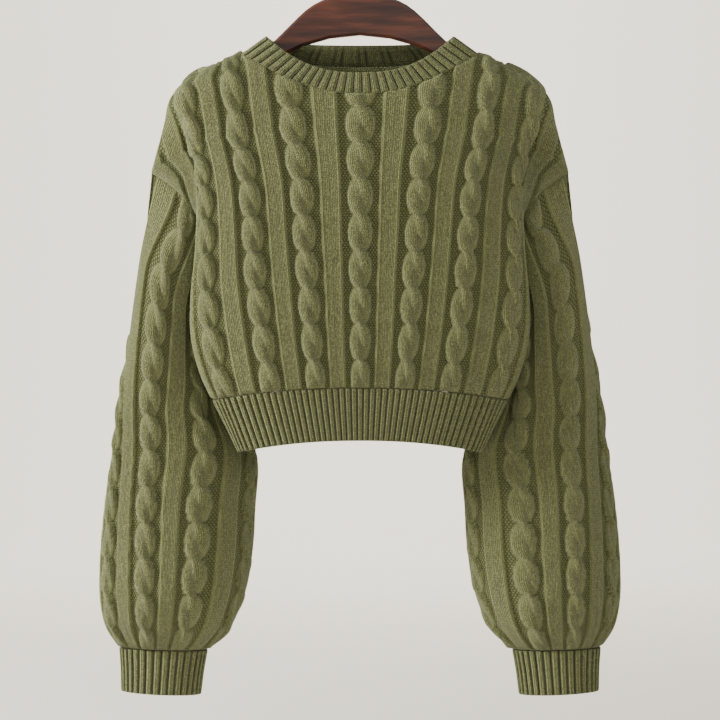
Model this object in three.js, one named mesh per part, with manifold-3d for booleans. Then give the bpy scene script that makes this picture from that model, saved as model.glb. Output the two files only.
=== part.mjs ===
// A cropped cable-knit sweater hanging on a wooden hanger, in millimetres.
// +Z is up, +X is to the right seen from the front, and the front faces -Y.
// The origin is the inner crook of the hanger's hook, where a rail carries it.
import * as THREE from 'three';
import { mergeVertices } from 'three/addons/utils/BufferGeometryUtils.js';
import Module from 'manifold-3d';

// Cloth.
const WALL = 3; // thickness of the knitted cloth
const SEAM_GAP = 0.3; // clearance between two pieces that are linked together
const BAND_LIFT = 1.2; // how far the neckband starts up its own slope, to keep that clearance

// The panels are measured in cable columns across, from the centre cable,
// and in millimetres of knitting up from the top of the hem rib.
const SEAM_COLUMN = 4.1; // side seam and armhole
const NECK_COLUMN = 1.75; // where the neckline meets the shoulder seam
const HEM_RISE = -55;
const UNDERARM_RISE = 105;
const ARM_TOP_RISE = 275;
const NECK_SIDE_RISE = 364;
const NECKLINE_CURVE = 2.2;
const FRONT_NECK_RISE = 310;
const BACK_NECK_RISE = 345;

// One row for each level of the body: height of the row at the centre, how far it sags at the
// side, half width to the side fold, depth at the centre, depth of the fold, place of the side
// seam, and how much narrower the back is than the front.
const BODY_ROWS = [
  { rise: -55, height: -530, sag: 13, fold: 129, depth: 42, tuck: 11, seam: 127, inset: 10 },
  { rise: -28, height: -503, sag: 13, fold: 142, depth: 45, tuck: 12, seam: 139, inset: 12 },
  { rise: 0, height: -475, sag: 13, fold: 156, depth: 48, tuck: 13, seam: 151, inset: 14 },
  { rise: 26, height: -449, sag: 10, fold: 169, depth: 49, tuck: 15, seam: 156, inset: 18 },
  { rise: 60, height: -415, sag: 6, fold: 178, depth: 49, tuck: 17, seam: 157, inset: 20 },
  { rise: 105, height: -370, sag: 4, fold: 178, depth: 48, tuck: 18, seam: 160, inset: 14 },
  { rise: 150, height: -325, sag: 4, fold: 173, depth: 47, tuck: 21, seam: 160, inset: 5 },
  { rise: 205, height: -270, sag: 7, fold: 171, depth: 45, tuck: 22, seam: 160, inset: 0 },
  { rise: 240, height: -235, sag: 11, fold: 173, depth: 42, tuck: 21, seam: 160, inset: 0 },
  { rise: 275, height: -200, sag: 17, fold: 180, depth: 38, tuck: 19, seam: 160, inset: 0 },
  { rise: 298, height: -177, sag: 10, fold: 193, depth: 35, tuck: 16, seam: 160, inset: 0 },
  { rise: 317, height: -158, sag: 4, fold: 191, depth: 33, tuck: 14, seam: 160, inset: 0 },
  { rise: 336, height: -139, sag: 1, fold: 166, depth: 30, tuck: 13, seam: 160, inset: 0 },
  { rise: 364, height: -111, sag: 6, fold: 114, depth: 27, tuck: 12, seam: 160, inset: 0 },
];

// The shoulder seam, from the neck over the end of the hanger and down the arm.
const SHOULDER_LINE = [
  { column: 1.75, across: 124, height: -118 },
  { column: 2.0, across: 142, height: -125 },
  { column: 2.5, across: 176, height: -140 },
  { column: 3.0, across: 202, height: -165 },
  { column: 3.5, across: 210, height: -196 },
  { column: 4.1, across: 223, height: -246 },
];

const UNDERARM = { across: 160, height: -370 };
const ARM_TOP = { across: 223, height: -246 };
const ARMHOLE_BOW = 24; // how far the armhole seam bows in from a straight line
const ARMHOLE_DEPTH = 14; // how far it stands out to the front and to the back

// One row for each ring of a sleeve, from the armhole down: its outer edge and its inner edge,
// each with its place towards the back, and the depths of its front and back faces.
const SLEEVE_RINGS = [
  { at: 0.0, outer: 223, outerZ: -246, outerY: 0, inner: 160, innerZ: -370, innerY: 0,
    front: 14, back: 14 },
  { at: 0.06, outer: 226.5, outerZ: -276, outerY: 2, inner: 166, innerZ: -383, innerY: 7,
    front: 20, back: 18 },
  { at: 0.14, outer: 231, outerZ: -316, outerY: 5, inner: 170, innerZ: -400, innerY: 14,
    front: 25, back: 22 },
  { at: 0.26, outer: 240, outerZ: -378, outerY: 10, inner: 169, innerZ: -430, innerY: 24,
    front: 29, back: 28 },
  { at: 0.38, outer: 249, outerZ: -438, outerY: 16, inner: 160, innerZ: -463, innerY: 34,
    front: 33, back: 32 },
  { at: 0.48, outer: 257, outerZ: -488, outerY: 20, inner: 142, innerZ: -498, innerY: 41,
    front: 33, back: 33 },
  { at: 0.58, outer: 264.5, outerZ: -540, outerY: 21, inner: 114, innerZ: -545, innerY: 43,
    front: 34, back: 34 },
  { at: 0.7, outer: 273, outerZ: -601, outerY: 19, inner: 114, innerZ: -603, innerY: 34,
    front: 37, back: 37 },
  { at: 0.82, outer: 278, outerZ: -661, outerY: 16, inner: 118, innerZ: -662, innerY: 25,
    front: 40, back: 40 },
  { at: 0.9, outer: 277.5, outerZ: -700, outerY: 13, inner: 126, innerZ: -700, innerY: 19,
    front: 40, back: 40 },
  { at: 0.95, outer: 271.5, outerZ: -729, outerY: 11, inner: 139, innerZ: -730, innerY: 15,
    front: 34, back: 34 },
  { at: 1.0, outer: 257, outerZ: -752, outerY: 9, inner: 163, innerZ: -755, innerY: 11,
    front: 22, back: 22 },
];
const CUFF_RINGS = [
  { at: 0.0, outer: 257, outerZ: -752, outerY: 9, inner: 163, innerZ: -755, innerY: 11,
    front: 22, back: 22 },
  { at: 0.5, outer: 255.5, outerZ: -775, outerY: 9, inner: 167, innerZ: -778, innerY: 10,
    front: 22, back: 22 },
  { at: 1.0, outer: 255, outerZ: -798, outerY: 9, inner: 170, innerZ: -802, innerY: 10,
    front: 24, back: 24 },
];

// Neckband: the free edge, measured at the centre front, the side and the centre back.
const BAND_EDGE = { across: 99, frontZ: -143.5, sideZ: -103, backZ: -107, curve: 2.45, inward: 0.9 };

// How finely the cloth is faceted.
const HALF_COLUMNS = [0, 0.35, 0.7, 1.05, 1.4, 1.75, 2.15, 2.55, 2.85, 3.1, 3.3, 3.5, 3.7, 3.9, 4.1];
const SIDE_STEPS = 4;
const ARMHOLE_STEPS = 9;
const RIB_STEPS = 2;
const BAND_STEPS = 2;
const CUFF_STEPS = 2;
const SLEEVE_STEPS = 17;

// Hanger.
const WOOD_THICKNESS = 10;
const WOOD_BEVEL = 2.5;
const HOOK_WIRE = 3.6;
const HOOK_INNER_RADIUS = 18;
const STEM_BOTTOM = -74;
const STEM_CLEARANCE = 0.3;
const DRILL_TOP = -50;
const DRILL_SIDES = 12;

// Below the underarm, a row's end dips to the row's own sag over this much rise.
const SAG_BLEND = 20;

// How strongly a row of knitting turns in from the fold, and how softly it meets the seam.
const TUCK_ACROSS = 0.5;
const TUCK_IN = 0.8;
const TUCK_DROP = 0.5;

// Sleeve rows lie closer together near the armhole.
const SLEEVE_ROW_POWER = 1.1;
const CUFF_GAPS = 1.5;

// ---------------------------------------------------------------- curves

// Reads one column of a table at a place between its rows, along a smooth curve.
function readTable(table, key, at, name) {
  const last = table.length - 1;
  let i = 0;
  while (i < last - 1 && at > table[i + 1][key]) i += 1;
  const slope = (j) => {
    const before = table[Math.max(j - 1, 0)];
    const after = table[Math.min(j + 1, last)];
    return (after[name] - before[name]) / (after[key] - before[key]);
  };
  const step = table[i + 1][key] - table[i][key];
  const t = THREE.MathUtils.clamp((at - table[i][key]) / step, 0, 1);
  return hermite(table[i][name], slope(i) * step, table[i + 1][name], slope(i + 1) * step, t);
}

function hermite(start, startSlope, end, endSlope, t) {
  const t2 = t * t;
  const t3 = t2 * t;
  return (2 * t3 - 3 * t2 + 1) * start + (t3 - 2 * t2 + t) * startSlope
    + (3 * t2 - 2 * t3) * end + (t3 - t2) * endSlope;
}

// The armhole seam from the underarm (share 0) to the top of the arm (share 1).
function armhole(share, facing) {
  const dx = ARM_TOP.across - UNDERARM.across;
  const dz = ARM_TOP.height - UNDERARM.height;
  const length = Math.hypot(dx, dz);
  const bow = ARMHOLE_BOW * 4 * share * (1 - share);
  return new THREE.Vector3(
    UNDERARM.across + dx * share - (dz / length) * bow,
    facing * ARMHOLE_DEPTH * Math.sin(Math.PI * share),
    UNDERARM.height + dz * share + (dx / length) * bow,
  );
}

// The column where a row of knitting ends: the side seam, the armhole or the shoulder seam.
function lastColumn(rise) {
  if (rise <= ARM_TOP_RISE) return SEAM_COLUMN;
  const share = (rise - ARM_TOP_RISE) / (NECK_SIDE_RISE - ARM_TOP_RISE);
  return SEAM_COLUMN - share * (SEAM_COLUMN - NECK_COLUMN);
}

// Where a row of knitting ends, on the right half of the body. facing is -1 in front, 1 behind.
function rowEnd(rise, facing) {
  if (rise < UNDERARM_RISE) {
    const sag = readTable(BODY_ROWS, 'rise', rise, 'sag');
    const height = readTable(BODY_ROWS, 'rise', rise, 'height');
    const blend = THREE.MathUtils.clamp((UNDERARM_RISE - rise) / SAG_BLEND, 0, 1);
    return new THREE.Vector3(readTable(BODY_ROWS, 'rise', rise, 'seam'), 0, height - sag * blend);
  }
  if (rise <= ARM_TOP_RISE) {
    return armhole((rise - UNDERARM_RISE) / (ARM_TOP_RISE - UNDERARM_RISE), facing);
  }
  const column = lastColumn(rise);
  return new THREE.Vector3(
    readTable(SHOULDER_LINE, 'column', column, 'across'),
    0,
    readTable(SHOULDER_LINE, 'column', column, 'height'),
  );
}

// The highest row of knitting in a column: at the neckline or at the shoulder seam.
function topRise(column, facing) {
  const across = Math.abs(column);
  if (across > NECK_COLUMN) {
    const share = (SEAM_COLUMN - across) / (SEAM_COLUMN - NECK_COLUMN);
    return ARM_TOP_RISE + share * (NECK_SIDE_RISE - ARM_TOP_RISE);
  }
  const lowest = facing < 0 ? FRONT_NECK_RISE : BACK_NECK_RISE;
  return lowest + (NECK_SIDE_RISE - lowest) * (across / NECK_COLUMN) ** NECKLINE_CURVE;
}

// One row of knitting on the right half: a flat front that rounds into the side fold, and then
// the cloth from the fold to the row's end.
const ROUNDNESS = 2.6;
const SAG_CURVE = 2.2;
const FACE_STEPS = 40;
const TURN_STEPS = 14;
const rowCache = new Map();
function rowOfKnitting(rise, facing) {
  const key = rise.toFixed(3) + ',' + facing;
  if (rowCache.has(key)) return rowCache.get(key);
  const read = (name) => readTable(BODY_ROWS, 'rise', rise, name);
  const fold = read('fold') - (facing > 0 ? read('inset') : 0);
  const tuck = read('tuck');
  const points = [];
  for (let i = 0; i <= FACE_STEPS; i += 1) {
    const angle = (i / FACE_STEPS) * Math.PI / 2;
    const across = Math.sin(angle) ** (2 / ROUNDNESS);
    const out = Math.cos(angle) ** (2 / ROUNDNESS);
    const y = tuck + (read('depth') - tuck) * out;
    points.push(new THREE.Vector3(fold * across, facing * y, read('height') - read('sag') * across ** SAG_CURVE));
  }
  const start = points[points.length - 1];
  const end = rowEnd(rise, facing);
  const reach = start.distanceTo(end);
  const drop = end.z - start.z;
  for (let i = 1; i <= TURN_STEPS; i += 1) {
    const t = i / TURN_STEPS;
    points.push(new THREE.Vector3(
      hermite(start.x, 0, end.x, TUCK_ACROSS * (end.x - start.x), t),
      hermite(start.y, -facing * reach, end.y, -facing * reach * TUCK_IN, t),
      hermite(start.z, drop * TUCK_DROP, end.z, drop, t),
    ));
  }
  const lengths = [0];
  for (let i = 1; i < points.length; i += 1) {
    lengths.push(lengths[i - 1] + points[i].distanceTo(points[i - 1]));
  }
  const row = { points, lengths };
  rowCache.set(key, row);
  return row;
}

// A point of the front (facing -1) or the back (facing 1) panel.
function bodyPoint(column, rise, facing) {
  const row = rowOfKnitting(rise, facing);
  const total = row.lengths[row.lengths.length - 1];
  const wanted = total * Math.min(Math.abs(column) / lastColumn(rise), 1);
  let i = 1;
  while (i < row.lengths.length - 1 && row.lengths[i] < wanted) i += 1;
  const share = (wanted - row.lengths[i - 1]) / (row.lengths[i] - row.lengths[i - 1]);
  const point = row.points[i - 1].clone().lerp(row.points[i], share);
  if (column < 0) point.x = -point.x;
  return point;
}

// ---------------------------------------------------------------- cloth walls

// The outward direction at each point of a grid of rows, from its neighbours.
function gridNormals(grid, closed, facingOut) {
  const rows = grid.length;
  const columns = grid[0].length;
  return grid.map((row, j) => row.map((point, i) => {
    const left = closed ? grid[j][(i - 1 + columns) % columns] : grid[j][Math.max(i - 1, 0)];
    const right = closed ? grid[j][(i + 1) % columns] : grid[j][Math.min(i + 1, columns - 1)];
    const below = grid[Math.max(j - 1, 0)][i];
    const above = grid[Math.min(j + 1, rows - 1)][i];
    const along = right.clone().sub(left);
    return along.cross(above.clone().sub(below)).multiplyScalar(facingOut).normalize();
  }));
}

// A closed wall between a grid of outer points and the same grid moved in along its normals.
function clothWall(grid, normals, closed) {
  const rows = grid.length;
  const columns = grid[0].length;
  const inner = grid.map((row, j) => row.map((p, i) => p.clone().addScaledVector(normals[j][i], -WALL)));
  const positions = [...grid, ...inner].flat().flatMap((p) => [p.x, p.y, p.z]);
  const outerAt = (j, i) => j * columns + (i % columns);
  const innerAt = (j, i) => rows * columns + outerAt(j, i);
  const faces = [];
  const quad = (a, b, c, d) => faces.push(a, b, c, a, c, d);
  const spans = closed ? columns : columns - 1;
  for (let j = 0; j < rows - 1; j += 1) {
    for (let i = 0; i < spans; i += 1) {
      quad(outerAt(j, i), outerAt(j, i + 1), outerAt(j + 1, i + 1), outerAt(j + 1, i));
      quad(innerAt(j, i), innerAt(j + 1, i), innerAt(j + 1, i + 1), innerAt(j, i + 1));
    }
    if (!closed) {
      quad(outerAt(j, 0), outerAt(j + 1, 0), innerAt(j + 1, 0), innerAt(j, 0));
      quad(outerAt(j, spans), innerAt(j, spans), innerAt(j + 1, spans), outerAt(j + 1, spans));
    }
  }
  for (let i = 0; i < spans; i += 1) {
    quad(outerAt(0, i), innerAt(0, i), innerAt(0, i + 1), outerAt(0, i + 1));
    quad(outerAt(rows - 1, i), outerAt(rows - 1, i + 1), innerAt(rows - 1, i + 1), innerAt(rows - 1, i));
  }
  return facesOut(positions, faces);
}

// Turns every face round if the closed surface encloses a negative volume.
function facesOut(positions, faces) {
  const at = (i) => new THREE.Vector3().fromArray(positions, 3 * i);
  let volume = 0;
  for (let i = 0; i < faces.length; i += 3) {
    volume += at(faces[i]).dot(at(faces[i + 1]).cross(at(faces[i + 2])));
  }
  if (volume < 0) {
    for (let i = 0; i < faces.length; i += 3) {
      [faces[i + 1], faces[i + 2]] = [faces[i + 2], faces[i + 1]];
    }
  }
  const geometry = new THREE.BufferGeometry();
  geometry.setAttribute('position', new THREE.Float32BufferAttribute(positions, 3));
  geometry.setIndex(faces);
  return geometry;
}

// ---------------------------------------------------------------- body panels

const COLUMNS = [...HALF_COLUMNS.slice(1).map((c) => -c).reverse(), ...HALF_COLUMNS];

// Shares of a column's height, with one grid row exactly at the underarm.
function panelShares() {
  const low = UNDERARM_RISE / ARM_TOP_RISE;
  const shares = [];
  for (let j = 0; j < SIDE_STEPS; j += 1) shares.push((low * j) / SIDE_STEPS);
  for (let j = 0; j <= ARMHOLE_STEPS; j += 1) shares.push(low + ((1 - low) * j) / ARMHOLE_STEPS);
  return shares;
}

// The wall directions at a seam shared by the front and the back lie in the plane between them.
function levelAtSeams(grid, normals, facing) {
  const rows = grid.length;
  const columns = grid[0].length;
  for (let j = 0; j < rows; j += 1) {
    for (let i = 0; i < columns; i += 1) {
      const onSide = i === 0 || i === columns - 1;
      const onTop = j === rows - 1 && Math.abs(COLUMNS[i]) >= NECK_COLUMN;
      if (Math.abs(grid[j][i].y) < 0.01 && (onSide || onTop)) {
        normals[j][i].y = 0;
        normals[j][i].normalize();
        grid[j][i].y = facing * SEAM_GAP / 2;
      }
    }
  }
}

function panelGrid(facing) {
  const grid = panelShares().map((share) => COLUMNS.map((column) => (
    bodyPoint(column, share * topRise(column, facing), facing))));
  const normals = gridNormals(grid, false, facing < 0 ? 1 : -1);
  levelAtSeams(grid, normals, facing);
  return { grid, normals };
}

function ribGrid(facing, panel) {
  const grid = [];
  for (let j = 0; j <= RIB_STEPS; j += 1) {
    const rise = (HEM_RISE * j) / RIB_STEPS - SEAM_GAP * (j === 0 ? 1 : 0);
    grid.push(COLUMNS.map((column) => bodyPoint(column, rise, facing)));
  }
  const normals = gridNormals(grid, false, facing < 0 ? -1 : 1);
  levelAtSeams(grid, normals, facing);
  normals[0] = panel.normals[0].map((n) => n.clone());
  return { grid, normals };
}

// ---------------------------------------------------------------- neckband

function neckbandGrid(front, back) {
  const top = front.grid.length - 1;
  const around = [];
  COLUMNS.forEach((column, i) => {
    if (Math.abs(column) <= NECK_COLUMN) around.push({ facing: -1, i });
  });
  COLUMNS.forEach((column, i) => {
    if (Math.abs(column) < NECK_COLUMN) around.push({ facing: 1, i: COLUMNS.length - 1 - i });
  });
  const foot = around.map(({ facing, i }) => {
    const panel = facing < 0 ? front : back;
    const point = panel.grid[top][i].clone();
    if (Math.abs(COLUMNS[i]) === NECK_COLUMN) point.y = 0;
    return { point, normal: panel.normals[top][i].clone(), facing };
  });
  const widest = Math.max(...foot.map((f) => f.point.x));
  const rim = foot.map(({ point, facing }) => {
    const share = Math.abs(point.x) / widest;
    const lowest = facing < 0 ? BAND_EDGE.frontZ : BAND_EDGE.backZ;
    const z = lowest + (BAND_EDGE.sideZ - lowest) * share ** BAND_EDGE.curve;
    return new THREE.Vector3(Math.sign(point.x) * share * BAND_EDGE.across, point.y * BAND_EDGE.inward, z);
  });
  const grid = [];
  for (let j = 0; j <= BAND_STEPS; j += 1) {
    grid.push(foot.map(({ point }, i) => {
      const whole = rim[i].distanceTo(point);
      return point.clone().lerp(rim[i], j === 0 ? BAND_LIFT / whole : j / BAND_STEPS);
    }));
  }
  const normals = gridNormals(grid, true, 1);
  normals[0] = normals[0].map((own, k) => {
    const { facing, i } = around[k];
    const shared = own.clone().add(foot[k].normal);
    if (Math.abs(COLUMNS[i]) === NECK_COLUMN) shared.y = 0;
    shared.normalize();
    front.normals[top][i] = facing < 0 || shared.y === 0 ? shared : front.normals[top][i];
    back.normals[top][i] = facing > 0 || shared.y === 0 ? shared : back.normals[top][i];
    return shared;
  });
  return { grid, normals };
}

// ---------------------------------------------------------------- sleeves and cuffs

const HALF_ROUND = ARMHOLE_STEPS;

// A ring of a sleeve at a place down its table, from the outer edge round by the front.
function tubePoint(rings, at, turn) {
  const read = (name) => readTable(rings, 'at', at, name);
  const outer = new THREE.Vector3(read('outer'), read('outerY'), read('outerZ'));
  const inner = new THREE.Vector3(read('inner'), read('innerY'), read('innerZ'));
  const angle = 2 * Math.PI * turn;
  const point = inner.clone().lerp(outer, (1 + Math.cos(angle)) / 2);
  const depth = Math.sin(angle) > 0 ? read('front') : read('back');
  point.y -= depth * Math.sin(angle);
  return point;
}

// Near the armhole the rings take over from the armhole seam.
const ARMHOLE_FADE = 0.2;
function sleevePoint(at, turn) {
  const hanging = tubePoint(SLEEVE_RINGS, at, turn);
  if (at >= ARMHOLE_FADE) return hanging;
  const facing = turn <= 0.5 ? -1 : 1;
  const share = Math.abs(1 - 2 * turn);
  const seam = armhole(share, facing);
  const start = tubePoint(SLEEVE_RINGS, 0, turn);
  const keep = 1 - THREE.MathUtils.smoothstep(at, 0, ARMHOLE_FADE);
  return hanging.addScaledVector(seam.sub(start), keep);
}

function sleeveGrid(side, front, back) {
  const around = Array.from({ length: 2 * HALF_ROUND }, (_, i) => i / (2 * HALF_ROUND));
  const grid = [];
  for (let j = 0; j <= SLEEVE_STEPS; j += 1) {
    const at = (j / SLEEVE_STEPS) ** SLEEVE_ROW_POWER;
    grid.push(around.map((turn) => {
      const point = sleevePoint(at, turn);
      point.x *= side;
      return point;
    }));
  }
  grid[0] = grid[0].map((point, i) => {
    const next = grid[1][i].clone().sub(point).normalize();
    return point.clone().addScaledVector(next, SEAM_GAP * CUFF_GAPS);
  });
  const normals = gridNormals(grid, true, side);
  const edge = side < 0 ? 0 : COLUMNS.length - 1;
  normals[0] = around.map((turn, i) => {
    const panel = turn <= 0.5 ? front : back;
    const fromTop = i <= HALF_ROUND ? i : 2 * HALF_ROUND - i;
    return panel.normals[panel.grid.length - 1 - fromTop][edge].clone();
  });
  return { grid, normals };
}

function cuffGrid(side, sleeve) {
  const around = Array.from({ length: 2 * HALF_ROUND }, (_, i) => i / (2 * HALF_ROUND));
  const grid = [];
  for (let j = 0; j <= CUFF_STEPS; j += 1) {
    grid.push(around.map((turn) => {
      const point = tubePoint(CUFF_RINGS, j / CUFF_STEPS, turn);
      point.x *= side;
      if (j === 0) point.z -= SEAM_GAP;
      return point;
    }));
  }
  const normals = gridNormals(grid, true, side);
  normals[0] = sleeve.normals[sleeve.normals.length - 1].map((n) => n.clone());
  return { grid, normals };
}

// ---------------------------------------------------------------- hanger

// Outline of the wooden arch, seen from the front.
function archOutline() {
  const outline = new THREE.Shape();
  outline.moveTo(0, -56);
  outline.bezierCurveTo(30, -57, 45, -63, 58, -74);
  outline.bezierCurveTo(72, -86, 84, -101, 99, -113);
  outline.bezierCurveTo(116, -127, 144, -140, 168, -152);
  outline.bezierCurveTo(184, -161, 188, -170, 178, -176);
  outline.bezierCurveTo(158, -172, 138, -162, 122, -150);
  outline.bezierCurveTo(96, -127, 58, -101, 0, -100);
  outline.bezierCurveTo(-58, -101, -96, -127, -122, -150);
  outline.bezierCurveTo(-138, -162, -158, -172, -178, -176);
  outline.bezierCurveTo(-188, -170, -184, -161, -168, -152);
  outline.bezierCurveTo(-144, -140, -116, -127, -99, -113);
  outline.bezierCurveTo(-84, -101, -72, -86, -58, -74);
  outline.bezierCurveTo(-45, -63, -30, -57, 0, -56);
  return outline;
}

function woodBlank() {
  const geometry = new THREE.ExtrudeGeometry(archOutline(), {
    depth: WOOD_THICKNESS - 2 * WOOD_BEVEL,
    bevelEnabled: true,
    bevelThickness: WOOD_BEVEL,
    bevelSize: WOOD_BEVEL,
    bevelOffset: -WOOD_BEVEL,
    bevelSegments: 1,
    curveSegments: 5,
  });
  geometry.translate(0, 0, -(WOOD_THICKNESS - 2 * WOOD_BEVEL) / 2);
  geometry.rotateX(Math.PI / 2);
  return geometry;
}

function hookWire() {
  const radius = HOOK_INNER_RADIUS + HOOK_WIRE / 2;
  const centreZ = -HOOK_INNER_RADIUS;
  const route = new THREE.CurvePath();
  const bend = new THREE.Vector3(0, 0, -52);
  route.add(new THREE.LineCurve3(new THREE.Vector3(0, 0, STEM_BOTTOM), bend));
  const arc = [];
  for (let degrees = -35; degrees <= 190; degrees += 15) {
    const angle = THREE.MathUtils.degToRad(degrees);
    arc.push(new THREE.Vector3(radius * Math.cos(angle), 0, centreZ + radius * Math.sin(angle)));
  }
  route.add(new THREE.CatmullRomCurve3([bend, new THREE.Vector3(4, 0, -43), ...arc]));
  const section = new THREE.Shape();
  section.absarc(0, 0, HOOK_WIRE / 2, 0, 2 * Math.PI);
  return new THREE.ExtrudeGeometry(section, { steps: 56, extrudePath: route, curveSegments: 5, bevelEnabled: false });
}

// ---------------------------------------------------------------- booleans

const wasm = await Module();
wasm.setup();

function asSolid(geometry) {
  const bare = geometry.clone();
  bare.deleteAttribute('normal');
  bare.deleteAttribute('uv');
  const merged = mergeVertices(bare, 1e-3);
  return new wasm.Manifold(new wasm.Mesh({
    numProp: 3,
    vertProperties: merged.attributes.position.array,
    triVerts: new Uint32Array(merged.index.array),
  }));
}

function asGeometry(solid) {
  const mesh = solid.getMesh();
  const geometry = new THREE.BufferGeometry();
  geometry.setAttribute('position', new THREE.BufferAttribute(mesh.vertProperties, 3));
  geometry.setIndex(new THREE.BufferAttribute(mesh.triVerts, 1));
  return geometry;
}

// The wood with the hole that the hook's stem goes into.
function drilledWood() {
  const drillRadius = HOOK_WIRE / 2 + STEM_CLEARANCE;
  const bottom = STEM_BOTTOM - STEM_CLEARANCE;
  const drill = new THREE.CylinderGeometry(drillRadius, drillRadius, DRILL_TOP - bottom, DRILL_SIDES);
  drill.rotateX(Math.PI / 2);
  drill.translate(0, 0, (DRILL_TOP + bottom) / 2);
  return asGeometry(asSolid(woodBlank()).subtract(asSolid(drill)));
}

// ---------------------------------------------------------------- assembly

const KNIT = { color: 0x75804f, roughness: 0.95, metalness: 0 };
const WOOD = { color: 0x5a2616, roughness: 0.4, metalness: 0 };
const STEEL = { color: 0xb9b9b5, roughness: 0.25, metalness: 1 };

const sweater = new THREE.Group();
function addPiece(name, geometry, finish) {
  const mesh = new THREE.Mesh(geometry, new THREE.MeshStandardMaterial(finish));
  mesh.name = name;
  sweater.add(mesh);
}

const front = panelGrid(-1);
const back = panelGrid(1);
const frontRib = ribGrid(-1, front);
const backRib = ribGrid(1, back);
addPiece('hem_rib_front', clothWall(frontRib.grid, frontRib.normals, false), KNIT);
addPiece('hem_rib_back', clothWall(backRib.grid, backRib.normals, false), KNIT);

// The neckband settles the wall directions that it shares with the panels, so it is worked out first.
const band = neckbandGrid(front, back);
addPiece('neckband', clothWall(band.grid, band.normals, true), KNIT);
addPiece('front', clothWall(front.grid, front.normals, false), KNIT);
addPiece('back', clothWall(back.grid, back.normals, false), KNIT);

for (const [word, side] of [['left', -1], ['right', 1]]) {
  const sleeve = sleeveGrid(side, front, back);
  const cuff = cuffGrid(side, sleeve);
  addPiece('sleeve_' + word, clothWall(sleeve.grid, sleeve.normals, true), KNIT);
  addPiece('cuff_' + word, clothWall(cuff.grid, cuff.normals, true), KNIT);
}

addPiece('hanger_wood', drilledWood(), WOOD);
addPiece('hanger_hook', hookWire(), STEEL);

export default sweater;
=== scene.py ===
"""A cropped cable-knit sweater on a wooden hanger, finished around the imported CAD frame.

The cloth follows the same tables of rows and rings as the CAD solids. Lengths in the tables are
millimetres, because knitting is counted in them, and every mesh is written in metres.
"""
import math

import bpy
import mathutils
import numpy as np
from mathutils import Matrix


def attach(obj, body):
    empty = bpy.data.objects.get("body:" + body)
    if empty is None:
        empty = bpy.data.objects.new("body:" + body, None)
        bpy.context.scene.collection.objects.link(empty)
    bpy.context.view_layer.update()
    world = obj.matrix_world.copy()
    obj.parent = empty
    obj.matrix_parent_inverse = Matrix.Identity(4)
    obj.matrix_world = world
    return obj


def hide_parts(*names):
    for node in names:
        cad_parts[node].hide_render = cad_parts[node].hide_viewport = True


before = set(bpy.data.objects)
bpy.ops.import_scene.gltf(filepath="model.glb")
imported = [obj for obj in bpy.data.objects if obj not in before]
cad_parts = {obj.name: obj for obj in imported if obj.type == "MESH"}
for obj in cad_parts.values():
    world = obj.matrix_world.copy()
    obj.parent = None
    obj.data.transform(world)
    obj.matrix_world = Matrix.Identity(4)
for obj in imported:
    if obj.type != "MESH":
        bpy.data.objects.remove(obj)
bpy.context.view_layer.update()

MM = 0.001

# ---------------------------------------------------------------- the sweater's own sizes

WALL = 3.0
SEAM_GAP = 0.3
BAND_TUCK = 1.0         # how far the band reaches down behind the panels' top edge
SEAM_COLUMN = 4.1
NECK_COLUMN = 1.75
HEM_RISE = -55.0
UNDERARM_RISE = 105.0
ARM_TOP_RISE = 275.0
NECK_SIDE_RISE = 364.0
NECKLINE_CURVE = 2.2
FRONT_NECK_RISE = 310.0
BACK_NECK_RISE = 345.0
ROUNDNESS = 2.6
SAG_CURVE = 2.2
SAG_BLEND = 20.0        # below the underarm, a row's end dips to the row's own sag over this rise
TUCK_ACROSS = 0.5       # how a row turns in from the fold, and how softly it meets the seam
TUCK_IN = 0.8
TUCK_DROP = 0.5

BODY_NAMES = ("rise", "height", "sag", "fold", "depth", "tuck", "seam", "inset")
BODY_ROWS = [
    (-55, -530, 13, 129, 42, 11, 127, 10),
    (-28, -503, 13, 142, 45, 12, 139, 12),
    (0, -475, 13, 156, 48, 13, 151, 14),
    (26, -449, 10, 169, 49, 15, 156, 18),
    (60, -415, 6, 178, 49, 17, 157, 20),
    (105, -370, 4, 178, 48, 18, 160, 14),
    (150, -325, 4, 173, 47, 21, 160, 5),
    (205, -270, 7, 171, 45, 22, 160, 0),
    (240, -235, 11, 173, 42, 21, 160, 0),
    (275, -200, 17, 180, 38, 19, 160, 0),
    (298, -177, 10, 193, 35, 16, 160, 0),
    (317, -158, 4, 191, 33, 14, 160, 0),
    (336, -139, 1, 166, 30, 13, 160, 0),
    (364, -111, 6, 114, 27, 12, 160, 0),
]
SHOULDER_NAMES = ("column", "across", "height")
SHOULDER_LINE = [
    (1.75, 124, -118),
    (2.0, 142, -125),
    (2.5, 176, -140),
    (3.0, 202, -165),
    (3.5, 210, -196),
    (4.1, 223, -246),
]
UNDERARM = (160.0, -370.0)
ARM_TOP = (223.0, -246.0)
ARMHOLE_BOW = 24.0
ARMHOLE_DEPTH = 14.0
ARMHOLE_FADE = 0.2

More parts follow.
